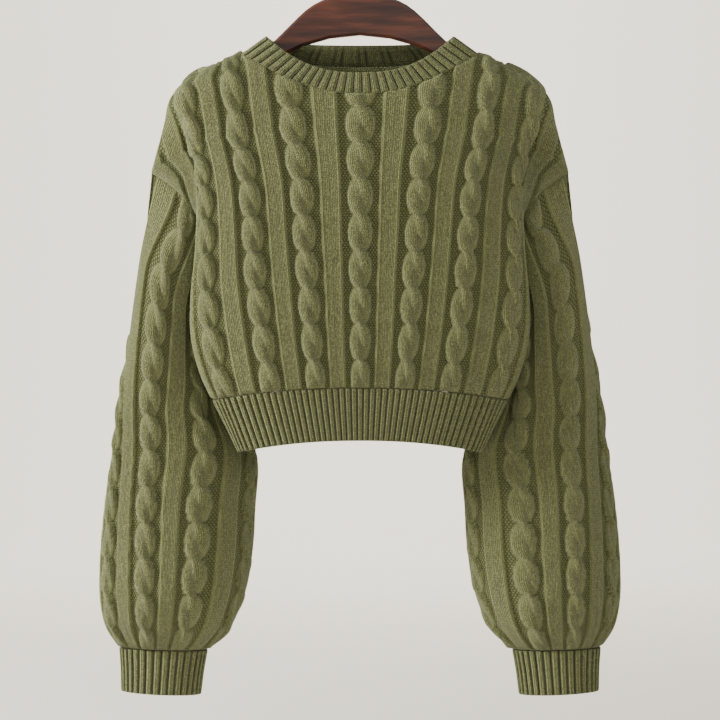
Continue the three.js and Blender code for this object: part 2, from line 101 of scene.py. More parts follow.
RING_NAMES = ("at", "outer", "outerZ", "outerY", "inner", "innerZ", "innerY", "front", "back")
SLEEVE_RINGS = [
    (0.0, 223, -246, 0, 160, -370, 0, 14, 14),
    (0.06, 226.5, -276, 2, 166, -383, 7, 20, 18),
    (0.14, 231, -316, 5, 170, -400, 14, 25, 22),
    (0.26, 240, -378, 10, 169, -430, 24, 29, 28),
    (0.38, 249, -438, 16, 160, -463, 34, 33, 32),
    (0.48, 257, -488, 20, 142, -498, 41, 33, 33),
    (0.58, 264.5, -540, 21, 114, -545, 43, 34, 34),
    (0.7, 273, -601, 19, 114, -603, 34, 37, 37),
    (0.82, 278, -661, 16, 118, -662, 25, 40, 40),
    (0.9, 277.5, -700, 13, 126, -700, 19, 40, 40),
    (0.95, 271.5, -729, 11, 139, -730, 15, 34, 34),
    (1.0, 257, -752, 9, 163, -755, 11, 22, 22),
]
CUFF_RINGS = [
    (0.0, 257, -752, 9, 163, -755, 11, 22, 22),
    (0.5, 255.5, -775, 9, 167, -778, 10, 22, 22),
    (1.0, 255, -798, 9, 170, -802, 10, 24, 24),
]
BAND_ACROSS = 99.0
BAND_FRONT_Z = -143.5
BAND_SIDE_Z = -103.0
BAND_BACK_Z = -107.0
BAND_CURVE = 2.45
BAND_INWARD = 0.9

# The stitch pattern, in millimetres.
PITCH = 57.0           # one cable column, with its grooves and its plank
CABLE_SWING = 5.0      # how far each strand swings from the cable's middle
STRAND_NARROW = 4.9    # half of a strand's width where it crosses the other
STRAND_SWELL = 2.6     # how much wider it is between two crossings
CROSSING = 38.0        # height between two crossings of a cable
CROSSING_START = 10.5  # rise at which the pattern's first half turn begins
OVERLAP = 2.2          # how far the upper strand lifts at a crossing
CABLE_HEIGHT = 4.6
PLANK_HEIGHT = 2.9
GROOVE_HALF = 18.6     # where the plank begins, from the cable's middle
GROOVE_DEPTH = 2.2     # how far a groove lies below the cloth's own surface
EDGE_RIDGE = 0.7       # the raised chain of stitches along a plank's edge
CHAIN_INSET = 1.4      # how far in from the edge that chain lies, and how wide it is
CHAIN_WIDE = 0.9
APART_CURVE = 0.5      # under 1, the strands stay apart for longer and cross in less height
BULGE_CURVE = 3        # over 2, a strand is flatter on top than a half round
EDGE_DROP = 1.2        # how far a piece's edge lies below the cloth's own surface
SIDE_GROOVE = (8.0, 10.0, 14.5, 16.5)    # the last groove, from half a pitch past the outermost cable
STITCH_WIDE = 3.3
STITCH_HIGH = 2.6
RIBS_PER_PITCH = 7
RIB_HEIGHT = 2.6
RIB_SHARE = 0.45       # half of a rib, out of the pitch of the ribs
RIB_TOP = 0.6          # under 1, a rib is flat on top
RIB_ROUND = 2.2        # how square a rib is: a low number is a round one
BAND_RIB_ROUND = 4.0
RIB_END = 0.3          # what is left of the relief at the ends of ribs
BAND_RIB_END = 0.35
RIB_STITCHES = 1.6     # columns of stitches on a rib
BAND_RIB_STITCHES = 2.2
BAND_HIGH = 24.0
CUFF_HIGH = 46.0
SLEEVE_CABLES = 7
SLEEVE_TUCK = 1.2      # how many grid rows the sleeve reaches in under the body at the armhole
BAND_RIBS = 62
CUFF_RIBS = 34


# ---------------------------------------------------------------- curves and tables

def hermite(start, start_slope, end, end_slope, t):
    t2 = t * t
    t3 = t2 * t
    return ((2 * t3 - 3 * t2 + 1) * start + (t3 - 2 * t2 + t) * start_slope
            + (3 * t2 - 2 * t3) * end + (t3 - t2) * end_slope)


def read_table(rows, names, at, name):
    """One column of a table at places between its rows, along the same smooth curve as the CAD's."""
    table = np.array(rows, dtype=float)
    keys = table[:, 0]
    values = table[:, names.index(name)]
    slopes = np.empty_like(values)
    slopes[1:-1] = (values[2:] - values[:-2]) / (keys[2:] - keys[:-2])
    slopes[0] = (values[1] - values[0]) / (keys[1] - keys[0])
    slopes[-1] = (values[-1] - values[-2]) / (keys[-1] - keys[-2])
    at = np.asarray(at, dtype=float)
    i = np.clip(np.searchsorted(keys, at, side="left") - 1, 0, len(keys) - 2)
    step = keys[i + 1] - keys[i]
    t = np.clip((at - keys[i]) / step, 0, 1)
    return hermite(values[i], slopes[i] * step, values[i + 1], slopes[i + 1] * step, t)


def smooth(edge0, edge1, x):
    t = np.clip((x - edge0) / (edge1 - edge0), 0, 1)
    return t * t * (3 - 2 * t)


def body(rise, name):
    return read_table(BODY_ROWS, BODY_NAMES, rise, name)


def armhole(share, facing):
    dx = ARM_TOP[0] - UNDERARM[0]
    dz = ARM_TOP[1] - UNDERARM[1]
    length = math.hypot(dx, dz)
    bow = ARMHOLE_BOW * 4 * share * (1 - share)
    x = UNDERARM[0] + dx * share - (dz / length) * bow
    y = facing * ARMHOLE_DEPTH * np.sin(np.pi * share)
    z = UNDERARM[1] + dz * share + (dx / length) * bow
    return np.stack([x, y, z], axis=-1)


def last_column(rise):
    share = np.clip((rise - ARM_TOP_RISE) / (NECK_SIDE_RISE - ARM_TOP_RISE), 0, 1)
    return SEAM_COLUMN - share * (SEAM_COLUMN - NECK_COLUMN)


def row_ends(rise, facing):
    """Where rows of knitting end: on the side seam, the armhole or the shoulder seam."""
    blend = np.clip((UNDERARM_RISE - rise) / SAG_BLEND, 0, 1)
    side_z = body(rise, "height") - body(rise, "sag") * blend
    side = np.stack([body(rise, "seam"), 0 * rise, side_z], axis=-1)
    share = np.clip((rise - UNDERARM_RISE) / (ARM_TOP_RISE - UNDERARM_RISE), 0, 1)
    arm = armhole(share, facing)
    column = last_column(rise)
    shoulder = np.stack([read_table(SHOULDER_LINE, SHOULDER_NAMES, column, "across"), 0 * rise,
                         read_table(SHOULDER_LINE, SHOULDER_NAMES, column, "height")], axis=-1)
    low = (rise < UNDERARM_RISE)[:, None]
    high = (rise > ARM_TOP_RISE)[:, None]
    return np.where(low, side, np.where(high, shoulder, arm))


def top_rise(column, facing):
    across = np.abs(column)
    lowest = FRONT_NECK_RISE if facing < 0 else BACK_NECK_RISE
    neck = lowest + (NECK_SIDE_RISE - lowest) * (across / NECK_COLUMN) ** NECKLINE_CURVE
    share = (SEAM_COLUMN - across) / (SEAM_COLUMN - NECK_COLUMN)
    shoulder = ARM_TOP_RISE + share * (NECK_SIDE_RISE - ARM_TOP_RISE)
    return np.where(across > NECK_COLUMN, shoulder, neck)


# How far from the middle the first, second and third cables run, by rise.
CABLE_NAMES = ("rise", "first", "second", "third")
CABLE_PLACES = [
    (-55, 38, 78, 120),
    (0, 45.5, 92, 141),
    (20, 47.5, 95.5, 148),
    (61, 51.5, 102, 157),
    (114, 55, 109, 163),
    (166, 59.5, 113, 163.5),
    (218, 63, 118, 166),
    (258, 69, 126, 172),
    (292, 74, 132.5, 180),
    (324, 78.5, 136.5, 187),
    (364, 84, 141, 192),
]


class BodySurface:
    """The front (facing -1) or the back (facing 1), read by column and by rise."""

    LEVELS = 211
    SHARES = 181
    FACE_STEPS = 60
    TURN_STEPS = 28
    FOLD_REACH = 0.985     # no cable's middle lies further out than this share of the fold
    LEAST_THIRD = 0.35     # least columns between the second cable and the third
    LEAST_SIDE = 0.9       # least columns between the third cable and the side seam
    SMOOTHING_PASSES = 3

    def __init__(self, facing):
        self.facing = facing
        self.rises = np.linspace(HEM_RISE, NECK_SIDE_RISE, self.LEVELS)
        self.net = self.rows(self.rises)
        self.warp = self.pattern_columns()

    def rows(self, rise):
        facing = self.facing
        angle = np.linspace(0, np.pi / 2, self.FACE_STEPS + 1)[None, :]
        across = np.sin(angle) ** (2 / ROUNDNESS)
        out = np.clip(np.cos(angle), 0, 1) ** (2 / ROUNDNESS)
        fold = (body(rise, "fold") - (body(rise, "inset") if facing > 0 else 0))[:, None]
        tuck = body(rise, "tuck")[:, None]
        depth = body(rise, "depth")[:, None]
        face = np.stack([
            fold * across,
            facing * (tuck + (depth - tuck) * out),
            body(rise, "height")[:, None] - body(rise, "sag")[:, None] * across ** SAG_CURVE,
        ], axis=-1)
        start = face[:, -1]
        end = row_ends(rise, facing)
        reach = np.linalg.norm(end - start, axis=-1)[:, None]
        drop = (end[:, 2] - start[:, 2])[:, None]
        t = np.linspace(0, 1, self.TURN_STEPS + 1)[None, 1:]
        turn = np.stack([
            hermite(start[:, :1], 0, end[:, :1], TUCK_ACROSS * (end[:, :1] - start[:, :1]), t),
            hermite(start[:, 1:2], -facing * reach, end[:, 1:2], -facing * reach * TUCK_IN, t),
            hermite(start[:, 2:], drop * TUCK_DROP, end[:, 2:], drop, t),
        ], axis=-1)
        points = np.concatenate([face, turn], axis=1)
        steps = np.linalg.norm(np.diff(points, axis=1), axis=-1)
        lengths = np.concatenate([np.zeros((len(rise), 1)), np.cumsum(steps, axis=1)], axis=1)
        shares = np.linspace(0, 1, self.SHARES)
        net = np.empty((len(rise), self.SHARES, 3))
        for k in range(len(rise)):
            for axis in range(3):
                net[k, :, axis] = np.interp(shares * lengths[k, -1], lengths[k], points[k, :, axis])
        return net

    def pattern_columns(self):
        """The cable pattern's own column at each place of the net."""
        shares = np.linspace(0, 1, self.SHARES)
        warp = np.empty((self.LEVELS, self.SHARES))
        for k, rise in enumerate(self.rises):
            last = float(last_column(rise))
            across = self.net[k, :, 0]
            turn = int(np.argmax(across))
            knots = [0.0]
            for cable in CABLE_NAMES[1:]:
                place = float(read_table(CABLE_PLACES, CABLE_NAMES, rise, cable))
                reach = min(place, across[turn] * self.FOLD_REACH)
                knots.append(float(np.interp(reach, across[:turn + 1], shares[:turn + 1])) * last)
            knots[3] = max(knots[3], knots[2] + self.LEAST_THIRD)
            knots.append(max(SEAM_COLUMN, knots[3] + self.LEAST_SIDE))
            warp[k] = np.interp(shares * last, knots, [0, 1, 2, 3, SEAM_COLUMN])
        kernel = np.array([1, 4, 6, 4, 1]) / 16
        for _ in range(self.SMOOTHING_PASSES):
            padded = np.pad(warp, ((2, 2), (0, 0)), mode="edge")
            warp = sum(kernel[i] * padded[i:i + self.LEVELS] for i in range(len(kernel)))
        return warp

    def net_place(self, column, rise):
        share = np.clip(np.abs(column) / last_column(rise), 0, 1) * (self.SHARES - 1)
        level = np.clip((rise - HEM_RISE) / (NECK_SIDE_RISE - HEM_RISE), 0, 1) * (self.LEVELS - 1)
        i = np.clip(share.astype(int), 0, self.SHARES - 2)
        j = np.clip(level.astype(int), 0, self.LEVELS - 2)
        return i, j, share - i, level - j

    def pattern(self, column, rise):
        i, j, u, v = self.net_place(column, rise)
        low = self.warp[j, i] * (1 - u) + self.warp[j, i + 1] * u
        high = self.warp[j + 1, i] * (1 - u) + self.warp[j + 1, i + 1] * u
        return (low * (1 - v) + high * v) * np.where(column < 0, -1, 1)

    def at(self, column, rise):
        i, j, u, v = self.net_place(column, rise)
        u = u[..., None]
        v = v[..., None]
        low = self.net[j, i] * (1 - u) + self.net[j, i + 1] * u
        high = self.net[j + 1, i] * (1 - u) + self.net[j + 1, i + 1] * u
        point = low * (1 - v) + high * v
        point[..., 0] *= np.where(column < 0, -1, 1)
        return point


def tube_points(rings, at, turn):
    def read(name):
        return read_table(rings, RING_NAMES, at, name)
    outer = np.stack([read("outer"), read("outerY"), read("outerZ")], axis=-1)
    inner = np.stack([read("inner"), read("innerY"), read("innerZ")], axis=-1)
    angle = 2 * np.pi * turn
    share = ((1 + np.cos(angle)) / 2)[..., None]
    point = inner * (1 - share) + outer * share
    depth = np.where(np.sin(angle) > 0, read("front"), read("back"))
    point[..., 1] -= depth * np.sin(angle)
    return point


def sleeve_points(at, turn):
    hanging = tube_points(SLEEVE_RINGS, at, turn)
    share = np.abs(1 - 2 * turn)
    seam = np.where((turn <= 0.5)[..., None], armhole(share, -1), armhole(share, 1))
    start = tube_points(SLEEVE_RINGS, 0 * at, turn)
    keep = (1 - smooth(0, ARMHOLE_FADE, at))[..., None]
    return hanging + (seam - start) * keep


# ---------------------------------------------------------------- stitch relief

def cable_relief(across, rise):
    """Height, stitch column, purl share and painted-highlight share of the cable pattern; the last marks the
    raised chains and the strands' flanks.

    across is millimetres from the middle of the nearest cable, and rise is millimetres of knitting.
    """
    phase = np.pi * (rise - CROSSING_START) / CROSSING
    apart = np.abs(np.cos(phase)) ** APART_CURVE
    swing = CABLE_SWING * np.sign(np.cos(phase)) * apart
    lift = OVERLAP * np.sin(phase)
    half = STRAND_NARROW + STRAND_SWELL * apart
    heights = []
    offsets = []
    for sign in (1, -1):
        offset = across - sign * swing
        bulge = np.sqrt(np.clip(1 - np.abs(offset / half) ** BULGE_CURVE, 0, 1))
        heights.append(bulge * (CABLE_HEIGHT + sign * lift))
        offsets.append(offset)
    cable = np.maximum(heights[0], heights[1])
    offset = np.where(heights[0] >= heights[1], offsets[0], offsets[1])
    distance = np.abs(across)
    plank_share = smooth(GROOVE_HALF - 1.0, GROOVE_HALF + 1.0, distance)
    chain = np.exp(-((distance - GROOVE_HALF - CHAIN_INSET) / CHAIN_WIDE) ** 2)
    plank = PLANK_HEIGHT * plank_share + EDGE_RIDGE * chain
    height = np.maximum(cable, plank)
    # rim marks the flanks of the cable strands; with the raised chain it makes the mask for a painted
    # highlight.
    rim = smooth(0.3, 1.6, cable) * (1 - smooth(2.6, 3.8, cable))
    stitch_u = np.where(cable > plank, offset, across) / STITCH_WIDE + 0.5
    # The purl share also carries painted shade in the grooves and a painted highlight on the purl bumps.
    purl = 1 - np.maximum(smooth(0.3, 1.3, cable), plank_share)
    return height - GROOVE_DEPTH, stitch_u, purl, np.clip(chain + 0.7 * rim, 0, 1)


def rib_relief(ribs, sharp):
    """Height, place across the rib and gap share of ribs, which count up by one from rib to rib."""
    place = ribs - np.round(ribs)
    crest = np.clip(1 - (np.abs(place) / RIB_SHARE) ** sharp, 0, 1)
    # The gap share only darkens the colour, as painted shade between the ribs.
    return RIB_HEIGHT * crest ** RIB_TOP - GROOVE_DEPTH, place, 1 - smooth(0.1, 0.55, crest)


# ---------------------------------------------------------------- meshes

INNER_STRIDE = 4       # the plain inner side keeps one grid line in this many


def grid_normals(points, closed):
    if closed:
        along = np.roll(points, -1, axis=1) - np.roll(points, 1, axis=1)
    else:
        along = np.gradient(points, axis=1)
    up = np.gradient(points, axis=0)
    normal = np.cross(along, up)
    return normal / np.maximum(np.linalg.norm(normal, axis=-1, keepdims=True), 1e-9)


def strided(count, closed):
    """The grid lines that the plain inner side keeps."""
    if closed:
        return list(range(0, count, INNER_STRIDE))
    return list(range(0, count - 1, INNER_STRIDE)) + [count - 1]


def cloth_mesh(name, points, relief, outward, closed, attributes):
    """A closed thin shell: a finely knitted outer side, a plain inner side and joined rims."""
    rows, columns = points.shape[:2]
    normals = grid_normals(points, closed) * outward
    outer = points + normals * relief[..., None]
    keep_rows = strided(rows, False)
    keep_columns = strided(columns, closed)
    inner = (points - normals * WALL)[np.ix_(keep_rows, keep_columns)]
    vertices = np.concatenate([outer.reshape(-1, 3), inner.reshape(-1, 3)]) * MM
    inner_start = rows * columns
    wide = len(keep_columns)

    def outer_at(j, i):
        return j * columns + i % columns

    def inner_at(j, i):
        return inner_start + j * wide + i % wide

    faces = []
    span = np.arange(columns if closed else columns - 1)
    for j in range(rows - 1):
        corners = [outer_at(j, span), outer_at(j, span + 1), outer_at(j + 1, span + 1), outer_at(j + 1, span)]
        faces.extend(np.stack(corners, axis=1).tolist())
    inner_spans = wide if closed else wide - 1
    for j in range(len(keep_rows) - 1):
        for i in range(inner_spans):
            faces.append([inner_at(j, i), inner_at(j + 1, i), inner_at(j + 1, i + 1), inner_at(j, i + 1)])
    # The rims: one face for each step of the inner side, with all the outer points beside it.
    for i in range(inner_spans):
        first = keep_columns[i]
        last = keep_columns[i + 1] if i + 1 < wide else columns
        run = list(range(first, last + 1))
        bottom = [outer_at(0, k) for k in reversed(run)]
        faces.append(bottom + [inner_at(0, i), inner_at(0, i + 1)])
        top = [outer_at(rows - 1, k) for k in run]
        faces.append(top + [inner_at(len(keep_rows) - 1, i + 1), inner_at(len(keep_rows) - 1, i)])
    if not closed:
        for j in range(len(keep_rows) - 1):
            run = list(range(keep_rows[j], keep_rows[j + 1] + 1))
            left = [outer_at(k, 0) for k in run]
            faces.append(left + [inner_at(j + 1, 0), inner_at(j, 0)])
            right = [outer_at(k, columns - 1) for k in reversed(run)]
            faces.append(right + [inner_at(j, wide - 1), inner_at(j + 1, wide - 1)])
    if outward < 0:
        faces = [face[::-1] for face in faces]
    mesh = bpy.data.meshes.new(name)
    mesh.from_pydata(vertices.tolist(), [], faces)
    mesh.polygons.foreach_set("use_smooth", [True] * len(mesh.polygons))
    for label, values in attributes.items():
        layer = mesh.attributes.new(label, "FLOAT", "POINT")
        plain = values[np.ix_(keep_rows, keep_columns)]
        both = np.concatenate([values.ravel(), plain.ravel()])
        layer.data.foreach_set("value", both.astype(np.float32))
    mesh.update()
    piece = bpy.data.objects.new(name, mesh)
    bpy.context.scene.collection.objects.link(piece)
    return piece


# ---------------------------------------------------------------- the pieces of the sweater

BODY_GRID_COLUMNS = 333
BODY_GRID_ROWS = 149
RIB_GRID_COLUMNS = 581
RIB_GRID_ROWS = 25
SLEEVE_GRID_COLUMNS = 256
SLEEVE_GRID_ROWS = 221
BAND_GRID_COLUMNS = 744
BAND_GRID_ROWS = 13
CUFF_GRID_COLUMNS = 408
CUFF_GRID_ROWS = 21


def nearest_cable(column, most=3):
    """Millimetres from the middle of the nearest cable, none of them beyond the outermost."""
    middle = np.clip(np.round(column), -most, most)
    return (column - middle) * PITCH


def panel(name, facing):
    surface = BodySurface(facing)
    column = np.linspace(-SEAM_COLUMN, SEAM_COLUMN, BODY_GRID_COLUMNS)[None, :]
    share = np.linspace(0, 1, BODY_GRID_ROWS)[:, None]
    rise = share * top_rise(column, facing)
    column = column + 0 * rise
    points = surface.at(column, rise)
    across = nearest_cable(surface.pattern(column, rise))
    beyond = np.abs(across) - 0.5 * PITCH
    height, stitch_u, purl, ridge_highlight = cable_relief(across, rise)
    groove = smooth(*SIDE_GROOVE[:2], beyond) * (1 - smooth(*SIDE_GROOVE[2:], beyond))
    height = np.where(beyond > 0, PLANK_HEIGHT * (1 - groove) - GROOVE_DEPTH, height)
    purl = np.where(beyond > 0, groove, purl)
    edge = smooth(0, 4, rise) * smooth(0, 3, top_rise(column, facing) - rise)
    height = height * edge - (1 - edge) * EDGE_DROP
    return cloth_mesh(name, points, height, -1 if facing > 0 else 1, False,
                      {"stitch_u": stitch_u, "stitch_v": rise / STITCH_HIGH, "purl": purl, "ridge_highlight": ridge_highlight})


def hem_rib(name, facing):
    surface = BodySurface(facing)
    column = np.linspace(-SEAM_COLUMN, SEAM_COLUMN, RIB_GRID_COLUMNS)[None, :]
    rise = np.linspace(-SEAM_GAP, HEM_RISE, RIB_GRID_ROWS)[:, None]
    column = column + 0 * rise
    rise = rise + 0 * column
    points = surface.at(column, rise)
    height, place, gap_shade = rib_relief(surface.pattern(column, rise) * RIBS_PER_PITCH, RIB_ROUND)
    edge = smooth(0, 2.5, -rise) * smooth(0, 2.5, rise - HEM_RISE)
    height = height * (RIB_END + (1 - RIB_END) * edge)
    return cloth_mesh(name, points, height, -1 if facing < 0 else 1, False,
                      {"stitch_u": place * RIB_STITCHES + 0.5, "stitch_v": rise / STITCH_HIGH, "gap_shade": gap_shade})


def neckband(name):
    half = BAND_GRID_COLUMNS // 2
    forward = np.linspace(-NECK_COLUMN, NECK_COLUMN, half + 1)[:-1]
    front = BodySurface(-1).at(forward, top_rise(forward, -1))
    behind = BodySurface(1).at(-forward, top_rise(-forward, 1))
    foot = np.concatenate([front, behind])
    facing = np.repeat([-1, 1], half)
    share = np.abs(foot[:, 0]) / np.abs(foot[:, 0]).max()
    lowest = np.where(facing < 0, BAND_FRONT_Z, BAND_BACK_Z)
    rim = np.stack([np.sign(foot[:, 0]) * share * BAND_ACROSS, foot[:, 1] * BAND_INWARD,
                    lowest + (BAND_SIDE_Z - lowest) * share ** BAND_CURVE], axis=-1)
    whole = np.linalg.norm(rim - foot, axis=-1)
    up = np.linspace(0, 1, BAND_GRID_ROWS)[:, None, None]
    start = -(BAND_TUCK / whole)[None, :, None]
    blend = start + (1 - start) * up
    points = foot[None] * (1 - blend) + rim[None] * blend
    steps = np.linalg.norm(np.roll(foot, -1, axis=0) - foot, axis=-1)
    around = (np.cumsum(steps) - steps) / steps.sum() * BAND_RIBS
    around = around[None, :] + 0 * up[..., 0]
    height, place, gap_shade = rib_relief(around, BAND_RIB_ROUND)
    edge = smooth(0, 0.12, up[..., 0]) * smooth(0, 0.12, 1 - up[..., 0])
    height = height * (BAND_RIB_END + (1 - BAND_RIB_END) * edge) + 0 * around
    return cloth_mesh(name, points, height, 1, True,
                      {"stitch_u": place * BAND_RIB_STITCHES,
                       "stitch_v": up[..., 0] * BAND_HIGH / STITCH_HIGH + 0 * around,
                       "gap_shade": gap_shade * edge})


# Where three of the sleeve's seven cables run round it, as shares of a turn from its outer edge.
# The others share out the rest of the turn.
COLUMN_NAMES = ("at", "side", "first", "second")
SLEEVE_COLUMNS = [
    (0.0, -0.06, 0.19, 0.37),
    (0.12, -0.08, 0.205, 0.40),
    (0.25, -0.08, 0.207, 0.41),
    (0.4, -0.03, 0.192, 0.375),
    (0.5, 0.02, 0.178, 0.325),
    (0.62, 0.055, 0.175, 0.295),
    (0.8, 0.078, 0.188, 0.293),
    (0.9, 0.083, 0.195, 0.296),
    (1.0, 0.085, 0.2, 0.3),
]


def sleeve_pattern(at, turn):
    """The cable pattern's own column round the sleeve: 0 at the first cable, 1 at the second."""
    column = np.empty_like(turn)
    for j, level in enumerate(at[:, 0]):
        side, first, second = (float(read_table(SLEEVE_COLUMNS, COLUMN_NAMES, level, name))
                               for name in COLUMN_NAMES[1:])
        hidden = (side + 1 - second) / (SLEEVE_CABLES - 2)
        spread = [second + hidden * k for k in range(1, SLEEVE_CABLES - 1)]
        knots = [spread[-2] - 1, side, first, second] + spread + [first + 1]
        column[j] = np.interp(turn[j], knots, range(-2, SLEEVE_CABLES + 1))
    return column


def sleeve(name, side):
    turn = (np.arange(SLEEVE_GRID_COLUMNS) / SLEEVE_GRID_COLUMNS)[None, :]
    at = np.linspace(0, 1, SLEEVE_GRID_ROWS)[:, None]
    turn = turn + 0 * at
    at = at + 0 * turn
    points = sleeve_points(at, turn)
    points[..., 0] *= side
    column = sleeve_pattern(at, turn)
    across = (column - np.round(column)) * PITCH * -side
    steps = np.linalg.norm(np.diff(points, axis=0), axis=-1).mean(axis=1)
    down = np.concatenate([[0], np.cumsum(steps)])[:, None] + 0 * turn
    rise = down[-1] - down
    height, stitch_u, purl, ridge_highlight = cable_relief(across, rise)
    edge = smooth(0, 8, down) * smooth(0, 6, rise)
    height = height * edge - (1 - edge) * EDGE_DROP
    points[0] += (points[0] - points[2]) * SLEEVE_TUCK
    return cloth_mesh(name, points, height, side, True,
                      {"stitch_u": stitch_u, "stitch_v": rise / STITCH_HIGH, "purl": purl, "ridge_highlight": ridge_highlight})


def cuff(name, side):
    turn = (np.arange(CUFF_GRID_COLUMNS) / CUFF_GRID_COLUMNS)[None, :]
    at = np.linspace(0, 1, CUFF_GRID_ROWS)[:, None]
    turn = turn + 0 * at
    at = at + 0 * turn
    points = tube_points(CUFF_RINGS, at, turn)
    points[..., 0] *= side
    points[0, :, 2] -= SEAM_GAP
    height, place, gap_shade = rib_relief(turn * CUFF_RIBS, RIB_ROUND)
    edge = smooth(0, 0.06, at) * smooth(0, 0.05, 1 - at)
    height = height * (RIB_END + (1 - RIB_END) * edge)
    return cloth_mesh(name, points, height, side, True,
                      {"stitch_u": place * RIB_STITCHES + 0.5, "stitch_v": at * CUFF_HIGH / STITCH_HIGH,
                       "gap_shade": gap_shade})


# ---------------------------------------------------------------- materials

class Nodes:
    """Short calls for building a material's node tree."""

    def __init__(self, name):
        self.material = bpy.data.materials.new(name)
        self.material.use_nodes = True
        self.tree = self.material.node_tree
        self.shader = self.tree.nodes["Principled BSDF"]

    def add(self, kind, **settings):
        node = self.tree.nodes.new(kind)
        for key, value in settings.items():
            setattr(node, key, value)
        return node

    def link(self, source, target):
        self.tree.links.new(source, target)

    def math(self, operation, first, second=0.0):
        node = self.add("ShaderNodeMath", operation=operation)
        for socket, value in zip(node.inputs, (first, second)):
            if isinstance(value, (int, float)):
                socket.default_value = value
            else:
                self.link(value, socket)
        return node.outputs[0]

    def attribute(self, name):
        return self.add("ShaderNodeAttribute", attribute_name=name).outputs["Fac"]

    def noise(self, scale, detail, stretch=(1, 1, 1)):
        place = self.add("ShaderNodeTexCoord").outputs["Object"]
        mapping = self.add("ShaderNodeMapping")
        mapping.inputs["Scale"].default_value = stretch
        self.link(place, mapping.inputs["Vector"])
        noise = self.add("ShaderNodeTexNoise")
        noise.inputs["Scale"].default_value = scale
        noise.inputs["Detail"].default_value = detail
        self.link(mapping.outputs[0], noise.inputs["Vector"])
        return noise.outputs["Fac"]

    def ramp(self, value, stops):
        node = self.add("ShaderNodeValToRGB")
        elements = node.color_ramp.elements
        while len(elements) < len(stops):
            elements.new(0.5)
        for element, (place, colour) in zip(elements, stops):
            element.position = place
            element.color = (*colour, 1)
        self.link(value, node.inputs[0])
        return node.outputs[0]

    def mix(self, share, first, second):
        node = self.add("ShaderNodeMix", data_type="RGBA")
        self.link(share, node.inputs["Factor"])
        for key, value in (("A", first), ("B", second)):
            socket = [s for s in node.inputs if s.name == key and s.type == "RGBA"][0]
            if isinstance(value, tuple):
                socket.default_value = (*value, 1)
            else:
                self.link(value, socket)
        return [s for s in node.outputs if s.type == "RGBA"][0]


def stitch_heights(n):
    """Knit stitches as pairs of slanting legs, and purl stitches as staggered bumps."""
    u = n.attribute("stitch_u")
    v = n.attribute("stitch_v")
    in_stitch = n.math("FRACT", u)
    from_middle = n.math("ABSOLUTE", n.math("SUBTRACT", in_stitch, 0.5))
    slanted = n.math("ADD", v, n.math("MULTIPLY", from_middle, 1.3))
    leg_along = n.math("ABSOLUTE", n.math("SINE", n.math("MULTIPLY", slanted, math.pi)))
    leg_across = n.math("SINE", n.math("MULTIPLY", from_middle, 2 * math.pi))
    knit = n.math("MULTIPLY", n.math("POWER", leg_along, 0.6), n.math("MAXIMUM", leg_across, 0.0))
    stagger = n.math("MULTIPLY", n.math("FLOOR", v), 0.5)
    bump_along = n.math("SINE", n.math("MULTIPLY", n.math("ADD", u, stagger), 2 * math.pi))
    bump_up = n.math("ABSOLUTE", n.math("SINE", n.math("MULTIPLY", v, math.pi)))
    purl = n.math("MULTIPLY", bump_up, n.math("ADD", n.math("MULTIPLY", bump_along, 0.45), 0.5))
    return knit, purl


def scaled(colour, factor):
    return tuple(min(c * factor, 1) for c in colour)


def knit_material(name, tint):
    """Heathered wool, with painted shade between stitches, in grooves and between ribs, and painted
    highlights on raised chains, cable flanks and purl bumps.
    """
    n = Nodes(name)
    knit, purl = stitch_heights(n)
    purl_share = n.attribute("purl")
    stitches = n.add("ShaderNodeMix", data_type="FLOAT")
    n.link(purl_share, stitches.inputs[0])
    n.link(knit, stitches.inputs[2])
    n.link(purl, stitches.inputs[3])
    height = stitches.outputs[0]
    fine = n.noise(2300, 4.0)
    heather = n.noise(760, 3.0, (1, 1, 0.6))
    broad = n.noise(14, 2.0)
    light = scaled(tint, 2.1)
    base = n.ramp(heather, [(0.38, scaled(tint, 0.45)), (0.5, tint), (0.62, light)])
    base = n.mix(n.math("MULTIPLY", fine, 0.5), base, light)
    base = n.mix(n.math("MULTIPLY", broad, 0.35), base, scaled(tint, 1.2))
    # Painted shade: the colour darkens where the stitch height is low, between the legs and bumps of the
    # stitches.
    between = n.math("SUBTRACT", 1.0, n.math("MINIMUM", n.math("MULTIPLY", height, 1.9), 1.0))
    base = n.mix(n.math("MULTIPLY", between, 0.6), base, scaled(tint, 0.22))
    # Painted shade: the colour darkens in the gaps between ribs and, more lightly, in the purl grooves.
    shade = n.math("MAXIMUM", n.attribute("gap_shade"), n.math("MULTIPLY", purl_share, 0.6))
    base = n.mix(n.math("MULTIPLY", shade, 0.95), base, scaled(tint, 0.2))
    # Painted highlight: the tops of the purl bumps are lightened.
    purl_highlight = n.math("MULTIPLY", n.math("MULTIPLY", purl_share, purl), 0.8)
    base = n.mix(purl_highlight, base, scaled(tint, 1.5))
    # Painted highlight on the raised chains along the planks' edges and on the flanks of the cable strands.
    base = n.mix(n.math("MULTIPLY", n.attribute("ridge_highlight"), 0.55), base, scaled(tint, 2.0))
    n.link(base, n.shader.inputs["Base Color"])
    total = n.math("ADD", height, n.math("MULTIPLY", fine, 0.7))
    bump = n.add("ShaderNodeBump")
    bump.inputs["Strength"].default_value = 1.0
    bump.inputs["Distance"].default_value = 0.0013
    n.link(total, bump.inputs["Height"])
    n.link(bump.outputs[0], n.shader.inputs["Normal"])
    n.shader.inputs["Roughness"].default_value = 0.95
    n.shader.inputs["Specular IOR Level"].default_value = 0.15
    n.shader.inputs["Sheen Weight"].default_value = 0.35
    n.shader.inputs["Sheen Roughness"].default_value = 0.4
    n.shader.inputs["Sheen Tint"].default_value = (0.83, 0.86, 0.62, 1)
    return n.material


